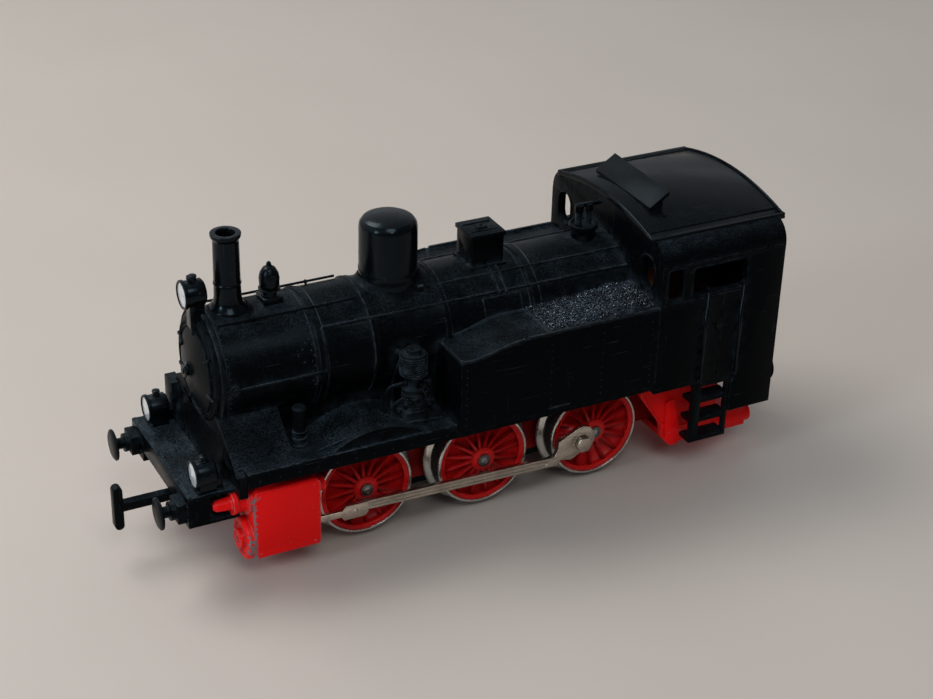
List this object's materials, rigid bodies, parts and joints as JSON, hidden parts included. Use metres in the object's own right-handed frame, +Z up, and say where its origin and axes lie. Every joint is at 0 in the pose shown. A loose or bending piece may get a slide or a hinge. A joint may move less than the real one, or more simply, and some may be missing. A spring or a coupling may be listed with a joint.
{
  "type": "toy tank locomotive",
  "caption": "Small-scale electric toy tank locomotive with spoked driving wheels, connecting rods, side tanks, cab, geared motor and swinging couplings.",
  "frame": {"origin": "on the ground plane, level with the bottoms of the wheel flanges, under the middle of the engine's overall box", "axes": "+X forward to the chimney end, +Y to the engine's left, +Z up"},
  "size_m": [0.1172, 0.0368, 0.0526],
  "materials": {
    "black_plastic": "semi-gloss black moulding, lightly scratched and dusty",
    "red_metal": "red enamel over zinc die casting, chipped at the edges",
    "red_plastic": "satin red moulding",
    "nickel": "dull nickel plate",
    "steel": "bright turned steel",
    "rubber": "black rubber band",
    "brass": "turned brass",
    "copper": "enamelled copper wire",
    "carbon": "pressed carbon",
    "board": "brown laminate board",
    "lens": "clear moulded lens over a white reflector",
    "blackened": "blackened steel"
  },
  "bodies": {
    "locomotive": {"chassis": "red_metal", "ashpan": "red_metal", "keeper_plate": "black_plastic", "cylinder_left": "red_metal", "cylinder_right": "red_metal", "body_shell": "black_plastic", "cab_roof": "black_plastic", "roof_vent": "black_plastic", "chimney": "black_plastic", "bell": "black_plastic", "steam_dome": "black_plastic", "sandbox": "black_plastic", "safety_valves": "black_plastic", "smokebox_door": "black_plastic", "top_lamp": "black_plastic", "front_lamps": "black_plastic", "lamp_lenses": "lens", "front_buffers": "black_plastic", "rear_buffers": "black_plastic", "cab_steps": "black_plastic", "cab_handrails": "black_plastic", "air_pump": "black_plastic", "coal_load": "black_plastic", "body_screw": "steel", "gear_pins": "steel", "motor_field": "steel", "field_coil": "copper", "motor_shield": "board", "brushes": "carbon", "relay_coil": "copper"},
    "front_wheelset": {"axle_front": "steel", "wheels_front": "red_plastic", "tyres_front": "nickel"},
    "middle_wheelset": {"axle_middle": "steel", "wheels_middle": "red_plastic", "tyres_middle": "nickel", "traction_tyres_middle": "rubber", "axle_gear_middle": "brass"},
    "rear_wheelset": {"axle_rear": "steel", "wheels_rear": "red_plastic", "tyres_rear": "nickel", "traction_tyres_rear": "rubber", "axle_gear_rear": "brass", "crank_bolts": "nickel"},
    "idler": {"idler_gear": "brass"},
    "lower_compound": {"lower_gear": "brass"},
    "upper_compound": {"upper_gear": "brass"},
    "rotor": {"armature": "steel", "armature_windings": "copper", "commutator": "copper", "motor_pinion": "brass"},
    "rod_left": {"connecting_rod_left": "nickel"},
    "rod_right": {"connecting_rod_right": "nickel"},
    "piston_left": {"crosshead_left": "nickel"},
    "piston_right": {"crosshead_right": "nickel"},
    "shoe": {"pickup_shoe": "nickel"},
    "coupling_front": {"front_coupling": "blackened"},
    "coupling_rear": {"rear_coupling": "blackened"},
    "relay_arm": {"relay_armature": "steel"}
  },
  "joints": [
    {"name": "rear_wheelset_spin", "type": "hinge", "parent": "locomotive", "child": "rear_wheelset", "pos_m": [-0.0208, 0, 0.0092], "axis": [0, 1, 0], "continuous": true},
    {"name": "middle_wheelset_spin", "type": "hinge", "parent": "locomotive", "child": "middle_wheelset", "pos_m": [0, 0, 0.0092], "axis": [0, 1, 0], "continuous": true},
    {"name": "front_wheelset_spin", "type": "hinge", "parent": "locomotive", "child": "front_wheelset", "pos_m": [0.0208, 0, 0.0092], "axis": [0, 1, 0], "continuous": true},
    {"name": "idler_spin", "type": "hinge", "parent": "locomotive", "child": "idler", "pos_m": [-0.0104, 0, 0.01336], "axis": [0, 1, 0], "continuous": true},
    {"name": "lower_gear_spin", "type": "hinge", "parent": "locomotive", "child": "lower_compound", "pos_m": [-0.0208, 0, 0.016], "axis": [0, 1, 0], "continuous": true},
    {"name": "upper_gear_spin", "type": "hinge", "parent": "locomotive", "child": "upper_compound", "pos_m": [-0.02326, 0, 0.02277], "axis": [0, 1, 0], "continuous": true},
    {"name": "armature_spin", "type": "hinge", "parent": "locomotive", "child": "rotor", "pos_m": [-0.0304, 0, 0.02537], "axis": [0, 1, 0], "continuous": true},
    {"name": "rod_left_pivot", "type": "hinge", "parent": "rear_wheelset", "child": "rod_left", "pos_m": [-0.0172, 0.0127, 0.0092], "axis": [0, 1, 0], "continuous": true},
    {"name": "rod_right_pivot", "type": "hinge", "parent": "rear_wheelset", "child": "rod_right", "pos_m": [-0.0208, -0.0127, 0.0056], "axis": [0, 1, 0], "continuous": true},
    {"name": "piston_left_slide", "type": "slide", "parent": "locomotive", "child": "piston_left", "axis": [1, 0, 0], "range_m": [-0.0072, 0]},
    {"name": "piston_right_slide", "type": "slide", "parent": "locomotive", "child": "piston_right", "axis": [1, 0, 0], "range_m": [-0.0036, 0.0036]},
    {"name": "shoe_lift", "type": "slide", "parent": "locomotive", "child": "shoe", "axis": [0, 0, 1], "range_m": [0, 0.0009], "stiffness_N_per_m": 60, "springref_m": -0.001},
    {"name": "coupling_front_swing", "type": "hinge", "parent": "locomotive", "child": "coupling_front", "pos_m": [0.0395, 0, 0.0096], "axis": [0, 0, 1], "range_deg": [-12, 12]},
    {"name": "coupling_rear_swing", "type": "hinge", "parent": "locomotive", "child": "coupling_rear", "pos_m": [-0.041, 0, 0.0096], "axis": [0, 0, 1], "range_deg": [-12, 12]},
    {"name": "relay_arm_tilt", "type": "hinge", "parent": "locomotive", "child": "relay_arm", "pos_m": [-0.01225, 0, 0.0232], "axis": [0, 1, 0], "range_deg": [0, 5], "stiffness_Nm_per_rad": 0.002, "springref_deg": -5.73}
  ],
  "couplings": [
    {"joint": "middle_wheelset_spin", "follows": "rear_wheelset_spin", "ratio": 1},
    {"joint": "idler_spin", "follows": "rear_wheelset_spin", "ratio": -0.55556},
    {"joint": "lower_gear_spin", "follows": "rear_wheelset_spin", "ratio": -1.4286},
    {"joint": "upper_gear_spin", "follows": "rear_wheelset_spin", "ratio": 3.7143},
    {"joint": "armature_spin", "follows": "rear_wheelset_spin", "ratio": -10.4},
    {"joint": "rod_left_pivot", "follows": "rear_wheelset_spin", "ratio": -1},
    {"joint": "rod_right_pivot", "follows": "rear_wheelset_spin", "ratio": -1}
  ]
}
